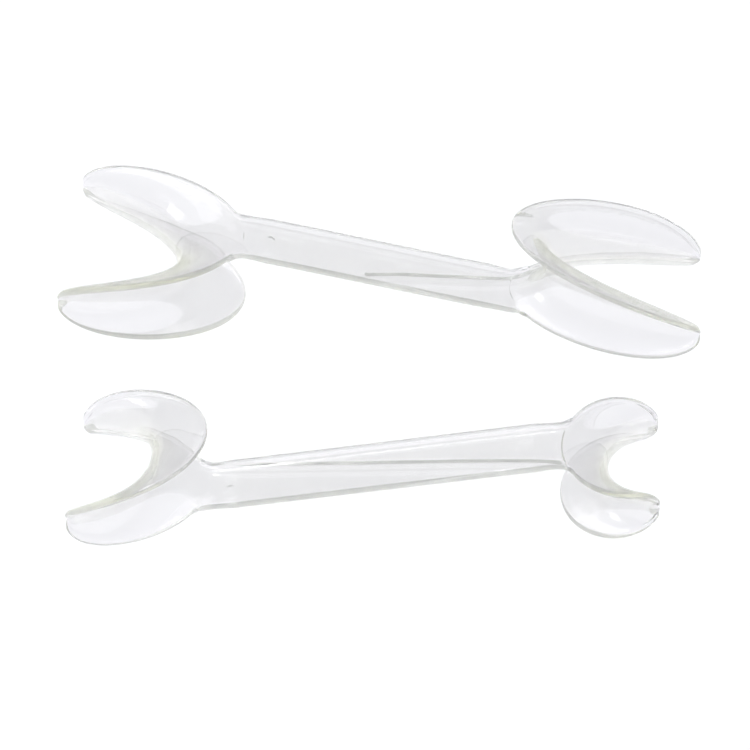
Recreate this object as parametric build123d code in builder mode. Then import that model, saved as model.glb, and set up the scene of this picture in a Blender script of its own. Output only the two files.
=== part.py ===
from build123d import *

import os
from dataclasses import dataclass
from math import acos, atan2, cos, degrees, hypot, sin, sqrt

# A pair of double-ended cheek retractors, one large and one small, lying side by
# side.  Each is one clear moulding: a lip channel bent into a C at either end, and
# a flat oblique handle that climbs from the low rim of one channel to the high rim
# of the other.  Each moulding is written as three regions that meet face to face.
# Millimetres, +X along the handles, +Z up, the table at z = 0.

# Sections shared by both mouldings
wall = 2.0                # thickness of the lip channels
handle_thickness = 2.4    # measured straight up through the handle
handle_width = 16.9
shoulder_length = 1.5     # level land between a channel's rim and the handle
shoulder_root = 5.0       # how far the land reaches in over the channel
edge_radius = 0.6         # rounding of the handle's long edges
tip_stub = 1.5            # radius of the bit of channel that ends each arm

# Stiffening rib and moulding-gate dimple on the handle's upper face
rib_width = 1.6
rib_height = 0.9
gate_radius = 1.5
gate_depth = 0.6

# Shape of every lip channel
section_count = 8         # sections on each side of the middle one


@dataclass
class Head:
    """One C-shaped lip channel, opening away from the handle.

    Seen from above, its rims and its web (the floor of the channel) are arcs of
    two ellipses.  Lengths run from the arm tips toward the handle.
    """

    length: float               # tips to the back of the rims
    half_width: float           # half height of the rims' ellipse
    widest: float               # where that ellipse is widest
    throat: float               # tips to the web at the back of the C
    throat_half_width: float    # half height of the web's ellipse
    throat_widest: float        # where that ellipse is widest
    depth: float                # rim to rim at the back, seen from the side
    handle_lean: float          # rise of the handle-side rim per mm toward the tips
    free_lean: float            # rise of the free rim per mm toward the tips
    bluntness: float            # the higher, the blunter the arm tips
    lead: float                 # how far the C slants along X per mm across it
    handle_on_top: bool         # whether the handle joins the upper rim


@dataclass
class Retractor:
    """Two heads, a tip-to-tip length and the place of the moulding on the table."""

    name: str
    left: Head
    right: Head
    length: float
    centre: tuple
    turn: float                 # degrees about +Z
    rib_start: float            # offset of the rib's low end from the handle's axis
    rib_stop: float             # the same at its high end
    rib_reach: float            # share of the handle's length that the rib crosses
    gate: tuple                 # gate dimple: distance from the left seat, and offset


large = Retractor(
    name="large",
    left=Head(48.0, 27.4, -4.0, 30.7, 25.6, -19.7, 23.6, 0.12, 0.227, 6.3, 0.065, True),
    right=Head(53.2, 23.1, -5.7, 44.0, 15.6, -10.2, 24.7, -0.197, -0.309, 5.3, 0.026, False),
    length=178.3,
    centre=(3.0, 32.0),
    turn=-1.8,
    rib_start=3.4,
    rib_stop=-6.4,
    rib_reach=0.53,
    gate=(6.7, -0.5),
)
small = Retractor(
    name="small",
    left=Head(35.3, 21.4, 4.2, 21.8, 18.2, 5.8, 19.8, -0.079, -0.196, 8.0, 0.077, False),
    right=Head(25.5, 17.7, 8.8, 14.7, 16.4, 0.1, 18.1, 0.005, 0.12, 9.1, 0.019, True),
    length=158.4,
    centre=(-2.5, -42.3),
    turn=-0.7,
    rib_start=6.9,
    rib_stop=-6.4,
    rib_reach=0.98,
    gate=(5.7, -2.7),
)


def on_arc(widest, reach, half_width, lead, t):
    """Point of a slanting elliptic C at t, from -1 at one tip through 0 at the back to 1."""
    radius = reach - widest
    angle = t * acos(-widest / radius)
    y = half_width * sin(angle)
    return widest + radius * cos(angle) + lead * y, y


def channel_section(head, t):
    """Plane, flare and half depth of the lip channel at t round the C."""
    rim_x, rim_y = on_arc(head.widest, head.length, head.half_width, head.lead, t)
    web_x, web_y = on_arc(
        head.throat_widest, head.throat, head.throat_half_width, head.lead, t
    )
    reach = hypot(rim_x - web_x, rim_y - web_y)
    outward = Vector(rim_x - web_x, rim_y - web_y, 0) / reach
    toward_tips = head.length - rim_x
    side = 1 if head.handle_on_top else -1
    handle_rim = side * head.depth / 2 + head.handle_lean * toward_tips
    free_rim = -side * head.depth / 2 + head.free_lean * toward_tips
    closing = sqrt(1 - abs(t) ** head.bluntness)
    flare = hypot(reach * closing, tip_stub)
    half_depth = hypot(abs(handle_rim - free_rim) / 2 * closing, tip_stub)
    plane = Plane(
        origin=(web_x, web_y, (handle_rim + free_rim) / 2),
        x_dir=outward,
        z_dir=outward.cross(Vector(0, 0, 1)),
    )
    return plane, flare, half_depth


def shoulder_height(head):
    """Middle of the land that carries the handle, in the head's own frame."""
    return (1 if head.handle_on_top else -1) * head.depth / 2


def build_head(head):
    """A lip channel lofted round its C, with the land that carries the handle."""
    half_wall = wall / 2
    with BuildPart() as head_part:
        for k in range(-section_count, section_count + 1):
            t = sin(k / section_count * acos(0))
            plane, flare, rise = channel_section(head, t)
            with BuildSketch(plane):
                with BuildLine():
                    EllipticalCenterArc(
                        (flare, 0), flare + half_wall, rise + half_wall, 90, arc_size=180
                    )
                    EllipticalCenterArc(
                        (flare, 0), flare - half_wall, rise - half_wall, 90, arc_size=180
                    )
                    for level in (rise, -rise):
                        ThreePointArc(
                            (flare, level - half_wall),
                            (flare + half_wall, level),
                            (flare, level + half_wall),
                        )
                make_face()
        loft()
        land = shoulder_length + shoulder_root
        with BuildSketch(Plane.XY.offset(shoulder_height(head) - handle_thickness / 2)):
            with Locations((head.length - shoulder_root + land / 2, 0)):
                Rectangle(land, handle_width)
        extrude(amount=handle_thickness)
    return head_part.part


def build_handle(start, end, retractor):
    """The oblique handle between two seats, each given as (x, z)."""
    run = end[0] - start[0]
    climb = end[1] - start[1]
    half = handle_thickness / 2
    with BuildPart() as handle:
        with BuildSketch(Plane.XZ):
            with BuildLine():
                Polyline(
                    (start[0], start[1] - half),
                    (end[0], end[1] - half),
                    (end[0], end[1] + half),
                    (start[0], start[1] + half),
                    close=True,
                )
            make_face()
        extrude(amount=handle_width / 2, both=True)
        slope = Vector(run, 0, climb).normalized()
        fillet(handle.edges().filter_by(Axis((0, 0, 0), slope)), edge_radius)

        # the rib runs from the low end's far corner toward the near edge
        face = Plane(
            origin=(start[0], 0, start[1] + half),
            x_dir=slope,
            z_dir=slope.cross(Vector(0, 1, 0)),
        )
        length = hypot(run, climb)
        low, toward_high = (0, 1) if climb > 0 else (length, -1)
        rib_root = low + toward_high * rib_width
        rib_tip = low + toward_high * retractor.rib_reach * length
        drop = retractor.rib_stop - retractor.rib_start
        with BuildSketch(face):
            with Locations(((rib_root + rib_tip) / 2, retractor.rib_start + drop / 2)):
                SlotCenterToCenter(
                    hypot(rib_tip - rib_root, drop) - rib_width,
                    rib_width,
                    rotation=degrees(atan2(drop, rib_tip - rib_root)),
                )
        extrude(amount=rib_height)
        with BuildSketch(face):
            with Locations(retractor.gate):
                Circle(gate_radius)
        extrude(amount=-gate_depth, mode=Mode.SUBTRACT)
    return handle.part


def build_retractor(retractor):
    """The three regions of one moulding, standing on z = 0 in their place."""
    half = retractor.length / 2
    place = Location((*retractor.centre, 0), (0, 0, retractor.turn))
    pieces = {}
    seats = []
    for side, head in ((-1, retractor.left), (1, retractor.right)):
        part = build_head(head)
        lift = -part.bounding_box().min.Z
        spot = Location((side * half, 0, lift), (0, 0, 0 if side < 0 else 180))
        side_name = "left" if side < 0 else "right"
        pieces[f"{retractor.name}_{side_name}_head"] = part.moved(spot).moved(place)
        seat_x = side * (half - head.length - shoulder_length)
        seats.append((seat_x, shoulder_height(head) + lift))
    handle = build_handle(*seats, retractor)
    pieces[f"{retractor.name}_handle"] = handle.moved(place)
    return pieces


pieces = {**build_retractor(large), **build_retractor(small)}
middle = Compound([*pieces.values()]).bounding_box().center()
os.makedirs("parts", exist_ok=True)
for name, piece in pieces.items():
    piece = piece.moved(Location((-middle.X, -middle.Y, 0)))
    piece.label = name
    export_step(piece, f"parts/{name}.step")
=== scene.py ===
# %% [markdown]
# # A pair of clear cheek retractors
#
# A dentist slips the C-shaped end of a cheek retractor into the corner of a mouth and
# pulls the handle to hold the lips away from the teeth.  Each retractor is one moulding
# of clear plastic: a lip channel at either end and a flat, sloping handle between them.
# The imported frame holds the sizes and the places.  This script gives each moulding its
# seamless skin, its clear material, and the table and light that show it.

# %% Load the frame
from dataclasses import dataclass
from math import atan2, cos, radians, sin

import bpy
import numpy as np
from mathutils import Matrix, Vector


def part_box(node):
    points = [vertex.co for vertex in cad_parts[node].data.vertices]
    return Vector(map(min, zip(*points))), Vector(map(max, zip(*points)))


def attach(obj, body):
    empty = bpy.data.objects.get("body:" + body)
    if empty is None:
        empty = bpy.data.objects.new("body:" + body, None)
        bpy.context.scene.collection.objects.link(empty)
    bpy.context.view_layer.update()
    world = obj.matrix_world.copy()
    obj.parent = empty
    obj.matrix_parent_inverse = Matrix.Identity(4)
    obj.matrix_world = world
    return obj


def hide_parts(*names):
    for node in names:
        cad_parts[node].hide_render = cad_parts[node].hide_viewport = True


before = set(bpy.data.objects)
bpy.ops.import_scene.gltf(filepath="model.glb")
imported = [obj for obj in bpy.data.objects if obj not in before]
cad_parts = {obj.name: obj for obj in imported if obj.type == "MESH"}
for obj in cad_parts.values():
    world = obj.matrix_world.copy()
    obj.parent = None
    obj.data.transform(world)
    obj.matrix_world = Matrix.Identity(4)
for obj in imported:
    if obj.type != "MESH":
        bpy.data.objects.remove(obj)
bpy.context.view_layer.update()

# %% [markdown]
# ## The sizes of a moulding
#
# A lip channel is easiest to describe from above.  Its two rims and its web, the floor of
# the channel, follow arcs of two ellipses whose ends are the arm tips.  From the side, the
# channel is half an ellipse as deep as the gap between the rims.  The same few numbers
# drive the frame, so they are repeated here in millimetres and turned to metres once.  The
# small retractor's heads are eased by about a millimetre toward the arm tips, because with
# the frame's own numbers the wall would fold over itself there.

# %% Driving sizes
MM = 0.001
WALL = 2.0                # thickness of the lip channels
HANDLE_THICKNESS = 2.4
HANDLE_WIDTH = 16.9
SHOULDER = 1.5            # level land between a rim and the handle's slope
TIP_ROOM = 0.2            # how far the sheet's arms stop short, so that the wall fits the frame


@dataclass
class Head:
    """One C-shaped lip channel; lengths run from the arm tips toward the handle."""

    length: float               # tips to the back of the rims
    half_width: float           # half height of the rims' ellipse
    widest: float               # where that ellipse is widest
    throat: float               # tips to the web at the back of the C
    throat_half_width: float
    throat_widest: float
    depth: float                # rim to rim at the back
    handle_lean: float          # rise of the handle-side rim per mm toward the tips
    free_lean: float            # rise of the free rim per mm toward the tips
    bluntness: float            # the higher, the blunter the arm tips
    lead: float                 # how far the C slants along X per mm across it
    handle_on_top: bool

    @property
    def side(self):
        """+1 where the handle joins the upper rim, -1 where it joins the lower one."""
        return 1 if self.handle_on_top else -1


@dataclass
class Retractor:
    """Two heads, the tip-to-tip length, the turn on the table and the handle's marks."""

    name: str
    left: Head
    right: Head
    length: float
    turn: float                 # degrees about +Z
    rib: tuple                  # plan points of the rib's crest, from the low seat
    gate: tuple                 # gate mark: distance from the left seat, and offset


large = Retractor(
    name="large",
    left=Head(48.0, 27.4, -4.0, 30.7, 25.6, -19.7, 23.6, 0.12, 0.227, 6.3, 0.065, True),
    right=Head(53.2, 23.1, -5.7, 44.0, 15.6, -10.2, 24.7, -0.197, -0.309, 5.3, 0.026, False),
    length=178.3,
    turn=-1.8,
    rib=((-9.5, 9.0), (-6.1, 5.1), (-2.0, 3.9), (2.2, 2.8), (30.4, -3.7), (40.0, -6.6)),
    gate=(6.7, -0.5),
)
small = Retractor(
    name="small",
    left=Head(35.3, 21.4, 4.2, 21.8, 18.2, 5.8, 19.8, -0.079, -0.196, 6.0, 0.077, False),
    right=Head(25.5, 18.0, 8.8, 14.7, 15.6, 0.1, 18.1, 0.005, 0.12, 6.0, 0.019, True),
    length=158.4,
    turn=-0.7,
    rib=((-4.0, 12.0), (0.1, 7.0), (13.4, 5.1), (78.4, -4.3), (94.4, -7.1)),
    gate=(5.7, -2.7),
)
print("tip to tip, mm:", large.length, small.length)

# %% [markdown]
# ## A lip channel as one formula
#
# The channel could be built by sweeping a U along a curve, but the U changes size all the
# way round the C and closes at the arm tips.  So the middle of the wall is written as a
# surface of two parameters: `t` goes round the C, `a` goes across the channel from the free
# rim to the handle's rim.  Rows and columns are packed closely near every rim, where the
# wall will be rounded, and more loosely elsewhere.

# %% The middle surface of a lip channel
RIM_ROWS = 8              # closely packed rows that round a rim
RIM_SHARE = 0.11          # share of a half width that those rows cover
OPEN_SHARE = 0.86         # share that is spaced evenly
CHANNEL_ROWS = 18         # rows in that share, from the web to a rim
TIP_STUB = 0.3            # smallest half size of a section, at the very tip


def quarter(count):
    """Steps 0 to 1 that bunch toward 0 as 1 - cos does."""
    return 1 - np.cos(np.linspace(0, np.pi / 2, count + 1))


def mirrored(half):
    """A rising half list from 0 upward, with its mirror image below 0."""
    return np.concatenate([-half[:0:-1], half])


def c_curve(widest, reach, half_width, lead, t):
    """Slanting elliptic C: y = b sin(T t), x = w + (r - w) cos(T t) + lead y.

    T is the angle that puts the tips just inside x = 0.
    """
    radius = reach - widest
    angle = t * np.arccos((TIP_ROOM - widest) / radius)
    y = half_width * np.sin(angle)
    return np.stack([widest + radius * np.cos(angle) + lead * y, y], axis=-1)


def channel_sheet(head, t, a):
    """Middle of a channel's wall.

    At each t the section is half an ellipse standing on the web, flaring outward by
    f (1 - cos A) and rising by g sin A, with A = a pi / 2.  Both f and g shrink toward
    the tips as sqrt(1 - t^n), so that the arms end like the bow of a boat.
    """
    rim = c_curve(head.widest, head.length, head.half_width, head.lead, t)
    web = c_curve(head.throat_widest, head.throat, head.throat_half_width, head.lead, t)
    reach = np.linalg.norm(rim - web, axis=-1)
    outward = (rim - web) / reach[:, None]
    toward_tips = head.length - rim[:, 0]
    handle_rim = head.side * head.depth / 2 + head.handle_lean * toward_tips
    free_rim = -head.side * head.depth / 2 + head.free_lean * toward_tips
    closing = np.sqrt(np.clip(1 - np.abs(t) ** head.bluntness, 0, None))
    flare = np.hypot((reach + WALL / 2) * closing, TIP_STUB)[:, None]
    rise = np.hypot(np.abs(handle_rim - free_rim) / 2 * closing, TIP_STUB)[:, None]
    angle = a[None, :] * np.pi / 2
    plan = web[:, None, :] + (flare * (1 - np.cos(angle)))[..., None] * outward[:, None, :]
    height = (handle_rim + free_rim)[:, None] / 2 + head.side * rise * np.sin(angle)
    return np.concatenate([plan, height[..., None]], axis=-1)


def toward_rim(count):
    """Steps 0 to 1 from a middle to a rim: evenly spaced, then closely packed."""
    even = np.linspace(0, OPEN_SHARE, count)
    return np.concatenate([even, 1 - RIM_SHARE * quarter(RIM_ROWS)[::-1]])


across = mirrored(toward_rim(CHANNEL_ROWS))
print("rows across a channel:", len(across))

# %% [markdown]
# ## The handle, joined without a corner
#
# The handle leaves the handle-side rim of each channel.  Where its edges meet the rim there
# is a small hollow fillet.  A Hermite curve gives it: it starts along the rim at the edges
# and straight out of the rim in the middle, and ends along the handle.  In between, the
# handle is a flat plate whose height follows a ramp with softened ends.

# %% The middle surface of a handle
CORNER = 1.4              # how far a fillet starts outside the handle's edge
BLEND = 7.0               # length of the blend between a rim and the plate
BEND = 3.5                # softness of the handle's two bends
BEND_INSET = 2.0          # how far inside the seats the bends lie
BLEND_ROWS = 16
PLATE_ROWS = 210
HANDLE_COLUMNS = 24       # evenly spaced columns from the handle's middle toward an edge
RIM_HOLD = 6              # the higher, the closer to the edges a fillet stays
NEAR_JOINT = 0.03         # share of the C, just beyond the joint, with closely packed columns
TIP_SHARE = 0.05          # the same at an arm's tip

half_columns = toward_rim(HANDLE_COLUMNS)
columns = mirrored(half_columns)
print("columns across a handle:", len(columns))


def joint_turn(head):
    """The t at which the handle-side rim is a fillet wider than half the handle."""
    t = np.linspace(0, 0.7, 1401)
    rim = channel_sheet(head, t, across[-1:])[:, 0, 1]
    return np.interp(HANDLE_WIDTH / 2 + CORNER, rim, t)


def round_the_c(head):
    """Columns round the C: the handle's own columns, then on to the arm tips."""
    joint = joint_turn(head)
    near = joint + NEAR_JOINT * quarter(4)
    arm = np.linspace(near[-1], 1 - TIP_SHARE, 44)[1:]
    tip = 1 - TIP_SHARE * quarter(16)[::-1]
    return mirrored(np.concatenate([half_columns * joint, near[1:], arm, tip[1:]]))


def ramp(x):
    """A smooth hinge: 0 far below x = 0 and x far above it, as (x + sqrt(x^2 + e^2)) / 2."""
    return (x + np.sqrt(x**2 + BEND**2)) / 2


def plate_height(x, seats):
    """Height of the handle's middle at x, between two seats given as (x, z)."""
    (x0, z0), (x1, z1) = seats
    x0, x1 = x0 + BEND_INSET, x1 - BEND_INSET
    slope = (z1 - z0) / (x1 - x0)
    return z0 + slope * (ramp(x - x0) - ramp(x - x1))


def hermite(start, start_way, end, end_way, s):
    """Cubic from start to end with the given tangents, for a column of s from 0 to 1."""
    s = s[:, None, None]
    return (
        (2 * s**3 - 3 * s**2 + 1) * start
        + (s**3 - 2 * s**2 + s) * start_way
        + (3 * s**2 - 2 * s**3) * end
        + (s**3 - s**2) * end_way
    )


def shoulder_rows(rim, seats, into_handle):
    """Rows of plan points from a rim to the straight plate; into_handle is +1 or -1 in x."""
    plan = rim[:, :2]
    along_rim = np.gradient(plan, axis=0)
    along_rim /= np.linalg.norm(along_rim, axis=1)[:, None]
    toward_middle = -np.sign(plan[:, 1:]) * np.sign(along_rim[:, 1:]) * along_rim
    straight = np.array([into_handle, 0.0])
    hold = np.abs(columns[:, None]) ** RIM_HOLD
    start_way = straight * (1 - hold) + toward_middle * hold
    start_way /= np.linalg.norm(start_way, axis=1)[:, None]
    furthest = (into_handle * plan[:, 0]).max() * into_handle
    end_x = np.full(len(columns), furthest + into_handle * BLEND)
    end = np.stack([end_x, columns * HANDLE_WIDTH / 2], axis=1)
    run = np.abs(end[:, :1] - plan[:, :1])
    s = np.linspace(0, 1, BLEND_ROWS + 1)
    rows = hermite(plan, start_way * run, end, straight * run, s)
    fade = (1 - s) ** 2 * (1 + 2 * s)
    rim_error = rim[:, 2] - plate_height(plan[:, 0], seats)
    height = plate_height(rows[..., 0], seats) + fade[:, None] * rim_error
    return np.concatenate([rows, height[..., None]], axis=-1)


# %% [markdown]
# ## One sheet for the whole moulding
#
# Channel, handle and channel are three grids that share a row of points at each joint.
# Giving both grids the same point numbers there makes them one sheet, so the clear skin
# has no seam.  The sheet is written in the retractor's own frame, with its middle at the
# origin, and each channel is lifted until it stands on the table.

# %% Join three grids into a sheet
def grounded(head, side):
    """Sheet of a head in the retractor's frame, its columns, and its lift off its own z."""
    t = round_the_c(head)
    sheet = channel_sheet(head, t, across)
    lift = WALL / 2 - sheet[..., 2].min()
    sheet[..., :2] = sheet[..., :2] * -side
    sheet[..., 2] += lift
    return t, sheet, lift


def retractor_sheet(retractor):
    """Points and quads of a moulding's middle surface, its rim and tip points, and its seats."""
    heads = {}
    seats = []
    for side, head in ((-1, retractor.left), (1, retractor.right)):
        t, sheet, lift = grounded(head, side)
        sheet[..., 0] += side * retractor.length / 2
        heads[side] = (t, sheet, joint_turn(head))
        seat_x = side * (retractor.length / 2 - head.length - SHOULDER)
        seats.append((seat_x, head.side * head.depth / 2 + lift))

    numbers = {}
    points = []
    count = 0
    for side, (t, sheet, joint) in heads.items():
        numbers[side] = count + np.arange(sheet[..., 0].size).reshape(sheet.shape[:2])
        points.append(sheet.reshape(-1, 3))
        count += sheet[..., 0].size

    joined = {}
    for side, (t, sheet, joint) in heads.items():
        first = np.argmin(np.abs(t + joint))
        chosen = slice(first, first + len(columns))
        order = slice(None, None, -side)
        joined[side] = (numbers[side][chosen, -1][order], sheet[chosen, -1][order])

    left_rows = shoulder_rows(joined[-1][1], seats, 1)
    right_rows = shoulder_rows(joined[1][1], seats, -1)[::-1]
    share = np.linspace(0, 1, PLATE_ROWS + 1)[1:-1, None]
    plate_x = left_rows[-1, :, 0] * (1 - share) + right_rows[0, :, 0] * share
    plate_y = np.broadcast_to(columns * HANDLE_WIDTH / 2, plate_x.shape)
    plate = np.stack([plate_x, plate_y, plate_height(plate_x, seats)], axis=-1)
    middle = np.concatenate([left_rows[1:], plate, right_rows[:-1]])
    middle_numbers = count + np.arange(middle[..., 0].size).reshape(middle.shape[:2])
    points.append(middle.reshape(-1, 3))
    handle_grid = np.concatenate([joined[-1][0][None], middle_numbers, joined[1][0][None]])

    rims = [handle_grid[:, 0], handle_grid[:, -1]]
    grids = [handle_grid.T]
    for side, (t, sheet, joint) in heads.items():
        grids.append(numbers[side])
        outside = np.abs(t) >= joint - 1e-6
        rims += [numbers[side][:, 0], numbers[side][outside, -1], numbers[side][0], numbers[side][-1]]
    quads = [
        np.stack([g[:-1, :-1], g[1:, :-1], g[1:, 1:], g[:-1, 1:]], axis=-1).reshape(-1, 4)
        for g in grids
    ]
    tips = np.concatenate([numbers[side][row] for side in heads for row in (0, -1)])
    return np.concatenate(points), np.concatenate(quads), np.unique(np.concatenate(rims)), tips, seats


# %% [markdown]
# ## From a sheet to a wall
#
# The wall could come from a Solidify modifier, but its rims would be square.  Here each
# point of the sheet moves half the wall's thickness to either side along its normal, and
# close to a rim that half thickness shrinks along a squarish quarter arc.  The two skins
# then meet in a rounded rim, as on the real moulding.

# %% Give the sheet a thickness
EDGE_POWER = 3            # 2 would round a rim fully, higher leaves it flatter
TIP_TAPER = 0.3           # half the wall per mm from an arm's tip, until it is whole
RIB_HALF_WIDTH = 0.9
RIB_HEIGHT = 0.85
GATE_RADIUS = 1.5
GATE_DEPTH = 0.55
GATE_NIB = 0.5            # height of the nib that the gate leaves
NIB_SHARPNESS = 4
RIB_REACH = 9.0           # how far beyond a seat the rib may run
LEVEL = 0.8               # least upward part of the normal where the rib may run there
BLOCKS = 40               # parts in which distances are worked out, to spare memory


def sheet_normals(points, quads):
    """Unit normals of a sheet: the diagonals' cross products, summed at each point."""
    p = points[quads]
    face = np.cross(p[:, 2] - p[:, 0], p[:, 3] - p[:, 1])
    normals = np.zeros_like(points)
    for corner in range(4):
        np.add.at(normals, quads[:, corner], face)
    return normals / np.linalg.norm(normals, axis=1)[:, None]


def gap_to(points, chosen):
    """Distance from every point to the nearest of the chosen ones."""
    nearest = [
        np.sqrt(((block[:, None] - chosen[None]) ** 2).sum(-1)).min(1)
        for block in np.array_split(points, BLOCKS)
    ]
    return np.concatenate(nearest)


def gap_to_path(plan, path):
    """Distance in plan from every point to a chain of straight runs."""
    gaps = []
    for start, end in zip(path[:-1], path[1:]):
        run = end - start
        share = np.clip((plan - start) @ run / (run @ run), 0, 1)
        gaps.append(np.linalg.norm(plan - start - share[:, None] * run, axis=1))
    return np.min(gaps, axis=0)


def skin(retractor):
    """Points and quads of the closed moulding, in its own frame, in millimetres.

    Half the wall is h (1 - (1 - u)^p)^(1/p), with u the distance to the nearest rim over h,
    and it thins toward the tips, where the sheet folds more tightly than the wall could.
    The rib is a ridge along its path and the gate a round sink with a nib in it; both lift
    or lower the upper skin only.
    """
    points, quads, rims, tips, seats = retractor_sheet(retractor)
    normals = sheet_normals(points, quads)
    on_handle = (points[:, 0] > seats[0][0]) & (points[:, 0] < seats[1][0])
    near_seat = np.min([np.abs(points[:, 0] - x) for x, _ in seats], axis=0)
    thicker = on_handle * np.clip(near_seat / BLEND, 0, 1)
    full = (WALL + (HANDLE_THICKNESS - WALL) * thicker) / 2
    inward = np.clip(gap_to(points, points[rims]) / full, 0, 1)
    half = full * (1 - (1 - inward) ** EDGE_POWER) ** (1 / EDGE_POWER)
    half = np.minimum(half, TIP_TAPER * gap_to(points, points[tips]))

    low, way = (0, 1) if seats[0][1] < seats[1][1] else (1, -1)
    rib = np.array([(seats[low][0] + way * x, y) for x, y in retractor.rib])
    fall = np.clip(1 - gap_to_path(points[:, :2], rib) / RIB_HALF_WIDTH, 0, 1)
    rib_lift = RIB_HEIGHT * fall**2 * (3 - 2 * fall) * inward
    gate = np.array([seats[0][0] + retractor.gate[0], retractor.gate[1]])
    r = np.clip(np.linalg.norm(points[:, :2] - gate, axis=1) / GATE_RADIUS, 0, 1)
    gate_lift = (GATE_NIB * np.exp(-((NIB_SHARPNESS * r) ** 2)) - GATE_DEPTH * (1 - r**4)) * (r < 1)
    handle_side = on_handle | ((near_seat < RIB_REACH) & (np.abs(normals[:, 2]) > LEVEL))
    lift = handle_side * (rib_lift + gate_lift)
    upper = normals[:, 2] > 0

    inner = np.ones(len(points), bool)
    inner[rims] = False
    second = np.arange(len(points))
    second[inner] = len(points) + np.arange(inner.sum())
    up = np.array([0, 0, 1.0])
    outer_skin = points + normals * half[:, None] + up * (lift * upper)[:, None]
    other_skin = points - normals * half[:, None] + up * (lift * ~upper)[:, None]
    outer_skin[rims] = points[rims]
    all_points = np.concatenate([outer_skin, other_skin[inner]])
    all_quads = np.concatenate([quads, second[quads][:, ::-1]])
    return all_points, all_quads, seats


# %% [markdown]
# ## Place a moulding on the frame
#
# The frame's handle gives the place: the middle of its box is the middle of the plate.  The
# frame's heads give the height.  Smooth shading is right everywhere, because every rim is
# rounded.

# %% Make the two mouldings
def moulding(retractor):
    """The finished mesh object of one retractor, standing in for its three CAD nodes."""
    points, quads, seats = skin(retractor)
    low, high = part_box(f"{retractor.name}_handle")
    middle = np.array([(low.x + high.x) / 2, (low.y + high.y) / 2]) / MM
    c, s = cos(radians(retractor.turn)), sin(radians(retractor.turn))
    turned = points[:, :2] @ np.array([[c, s], [-s, c]])
    seat_middle = np.array([c, s]) * (seats[0][0] + seats[1][0]) / 2
    points[:, :2] = turned + middle - seat_middle
    points[:, 2] -= points[:, 2].min()
    top = max(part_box(f"{retractor.name}_{side}_head")[1].z for side in ("left", "right")) / MM
    points[:, 2] *= min(1, top / points[:, 2].max())
    mesh = bpy.data.meshes.new(f"{retractor.name}_retractor")
    mesh.from_pydata((points * MM).tolist(), [], quads.tolist())
    mesh.validate()
    mesh.polygons.foreach_set("use_smooth", np.ones(len(mesh.polygons), bool))
    piece = bpy.data.objects.new(mesh.name, mesh)
    bpy.context.scene.collection.objects.link(piece)
    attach(piece, f"{retractor.name}_retractor")
    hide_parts(*(f"{retractor.name}_{part}" for part in ("left_head", "handle", "right_head")))
    print(piece.name, len(quads), "quads, height", round(float(points[:, 2].max()), 2))
    return piece


mouldings = [moulding(retractor) for retractor in (large, small)]

# %% [markdown]
# ## Clear moulded plastic
#
# Polycarbonate is clear and bends light more than acrylic does.  Through transmission and a
# refractive index the rims darken by themselves, and absorption inside the wall tints the
# long ways through it olive.  A part of the light passes straight, by alpha, which keeps the
# rims from going black.  What keeps it from looking like perfect glass is its surface: a
# slow ripple from the mould, and hair-fine scratches that scatter a little light.

# %% Shader maths as Python expressions
class Wire:
    """A node's output socket that can be added, subtracted, multiplied or raised to a power."""

    def __init__(self, tree, socket):
        self.tree = tree
        self.socket = socket

    def _math(self, operation, *values):
        return self.tree.add("ShaderNodeMath", {"operation": operation}, dict(enumerate(values)))

    def __add__(self, other):
        return self._math("ADD", self, other)

    __radd__ = __add__

    def __mul__(self, other):
        return self._math("MULTIPLY", self, other)

    __rmul__ = __mul__

    def __sub__(self, other):
        return self._math("SUBTRACT", self, other)

    def __rsub__(self, other):
        return self._math("SUBTRACT", other, self)

    def __pow__(self, other):
        return self._math("POWER", self, other)


class Tree:
    """A material's nodes; `add` is the one way in."""

    def __init__(self, owner):
        owner.use_nodes = True
        self.nodes = owner.node_tree.nodes
        self.links = owner.node_tree.links
        self.nodes.clear()

    def add(self, kind, settings=None, inputs=None, output=0):
        """Makes a node, sets its settings, then the values or links of its inputs."""
        node = self.nodes.new(kind)
        for name, value in (settings or {}).items():
            setattr(node, name, value)
        for name, value in (inputs or {}).items():
            if isinstance(value, Wire):
                self.links.new(value.socket, node.inputs[name])
            else:
                node.inputs[name].default_value = value
        return Wire(self, node.outputs[output]) if len(node.outputs) else None


# %% The clear plastic
def clear_plastic():
    """Clear polycarbonate with a mould ripple, fine scratches and an olive depth."""
    material = bpy.data.materials.new("clear_plastic")
    tree = Tree(material)
    place = tree.add("ShaderNodeTexCoord", output="Object")
    ripple = tree.add("ShaderNodeTexNoise", inputs={"Vector": place, "Scale": 90.0, "Detail": 2.0})
    stretched = tree.add(
        "ShaderNodeMapping", {"vector_type": "POINT"}, {"Vector": place, "Scale": (60.0, 900.0, 900.0)}
    )
    hairline = tree.add("ShaderNodeTexNoise", inputs={"Vector": stretched, "Scale": 1.0, "Detail": 4.0})
    scratch = (hairline ** 6.0) * 6.0
    bump = tree.add(
        "ShaderNodeBump", inputs={"Strength": 0.12, "Distance": 0.0006, "Height": ripple + scratch * 0.02}
    )
    body = tree.add(
        "ShaderNodeBsdfPrincipled",
        inputs={
            "Base Color": (0.86, 0.845, 0.895, 1),
            "Roughness": 0.03 + scratch * 0.05,
            "IOR": 1.58,
            "Transmission Weight": 1.0,
            "Alpha": 0.7,
            "Normal": bump,
        },
    )
    depth = tree.add(
        "ShaderNodeVolumeAbsorption", inputs={"Color": (0.80, 0.82, 0.55, 1), "Density": 40.0}
    )
    tree.add("ShaderNodeOutputMaterial", inputs={"Surface": body, "Volume": depth})
    return material


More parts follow.
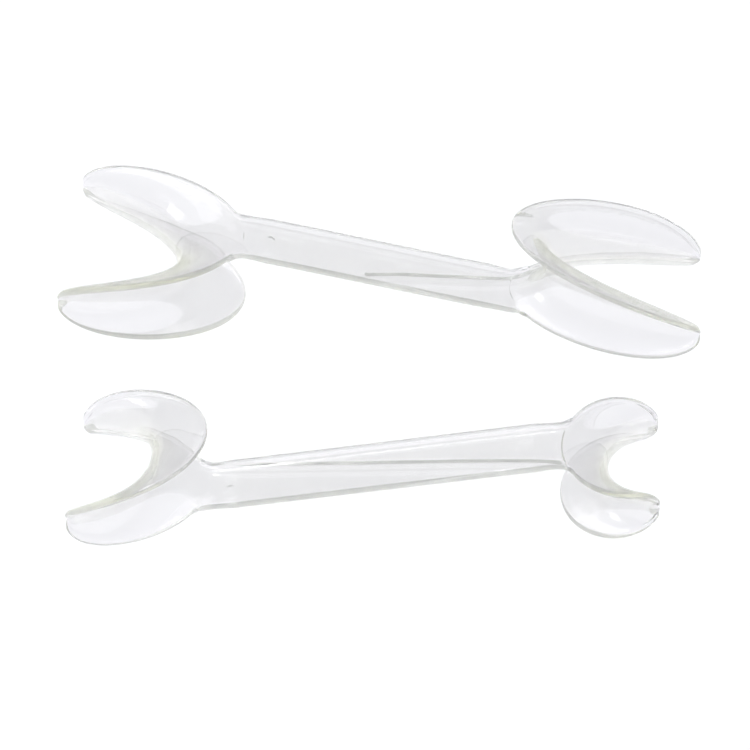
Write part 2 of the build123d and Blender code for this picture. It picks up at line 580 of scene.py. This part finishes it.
plastic = clear_plastic()
for piece in mouldings:
    piece.data.materials.append(plastic)
    # rays that leave the table don't see the plastic, so it throws no shadow or bright patch
    piece.visible_shadow = False
    piece.visible_diffuse = False
print("material:", plastic.name, "with", len(plastic.node_tree.nodes), "nodes")

# %% [markdown]
# ## A table to lie on
#
# Clear plastic shows only what it bends and mirrors, so it needs a bright table under it
# and something darker round about.  The table is plain, white and large.

# %% The table
def table_top():
    """A large white floor at z = 0."""
    mesh = bpy.data.meshes.new("table")
    r = 4.0
    mesh.from_pydata([(-r, -r, 0), (r, -r, 0), (r, r, 0), (-r, r, 0)], [], [(0, 1, 2, 3)])
    floor = bpy.data.objects.new("table", mesh)
    bpy.context.scene.collection.objects.link(floor)
    material = bpy.data.materials.new("white_table")
    tree = Tree(material)
    paint = tree.add(
        "ShaderNodeBsdfPrincipled", inputs={"Base Color": (0.9, 0.9, 0.9, 1), "Roughness": 0.9}
    )
    tree.add("ShaderNodeOutputMaterial", inputs={"Surface": paint})
    mesh.materials.append(material)
    return floor


print("floor:", table_top().name)

# %% [markdown]
# ## Soft light, with something to mirror
#
# A wide soft box overhead lights the table.  The plastic doesn't mirror it, because its
# reflection would bleach a whole flange.  A small box gives the sparkles and a low one on
# the left draws the edges.  The room is dark behind the camera and bright at the back.

# %% The light
def soft_box(name, place, aim, size, power):
    """A square area light at place, turned toward aim."""
    light = bpy.data.lights.new(name, "AREA")
    light.size = size
    light.energy = power
    lamp = bpy.data.objects.new(name, light)
    lamp.location = place
    direction = np.array(aim) - np.array(place)
    flat = float(np.hypot(direction[0], direction[1]))
    lamp.rotation_euler = (atan2(flat, -direction[2]), 0, atan2(-direction[0], direction[1]))
    bpy.context.scene.collection.objects.link(lamp)
    return lamp


overhead = soft_box("overhead", (-0.8, 0.9, 2.8), (0, 0, 0), 2.2, 54)
overhead.visible_glossy = False
soft_box("sparkle", (-0.5, 0.35, 2.2), (0, 0, 0), 0.3, 2.2)
soft_box("left_side", (-2.2, -0.6, 1.2), (0, 0, 0), 0.8, 9)


def studio():
    """A room that is dark behind the camera and brightens toward the back and the ceiling."""
    world = bpy.data.worlds.new("studio")
    bpy.context.scene.world = world
    tree = Tree(world)
    way = tree.add("ShaderNodeTexCoord", output="Generated")
    y, z = (tree.add("ShaderNodeSeparateXYZ", inputs={"Vector": way}, output=k) for k in "YZ")
    shade = tree.add(
        "ShaderNodeMapRange",
        {"interpolation_type": "SMOOTHSTEP"},
        {"Value": y + z, "From Min": -0.9, "From Max": 1.2, "To Min": 0.15, "To Max": 0.79},
    )
    sky = tree.add(
        "ShaderNodeBackground", inputs={"Color": (0.95, 0.97, 1.0, 1), "Strength": shade}
    )
    tree.add("ShaderNodeOutputWorld", inputs={"Surface": sky})


studio()

# %% [markdown]
# ## The camera
#
# It looks down at half a right angle from straight in front.  The lens follows from the
# distance and the width of the table that has to fill the view.

# %% The camera
ELEVATION = radians(45)
DISTANCE = 1.2
AIM = (-0.00245, 0.00403, 0.0)
FIELD = 0.210             # width of the view at the aim, in metres

camera_data = bpy.data.cameras.new("camera")
camera_data.lens = camera_data.sensor_width * DISTANCE / FIELD
camera = bpy.data.objects.new("camera", camera_data)
camera.location = (AIM[0], AIM[1] - DISTANCE * cos(ELEVATION), AIM[2] + DISTANCE * sin(ELEVATION))
camera.rotation_euler = (np.pi / 2 - ELEVATION, 0, 0)
bpy.context.scene.collection.objects.link(camera)
bpy.context.scene.camera = camera
bpy.context.scene.view_settings.view_transform = "Standard"
print("lens, mm:", round(camera_data.lens, 1))
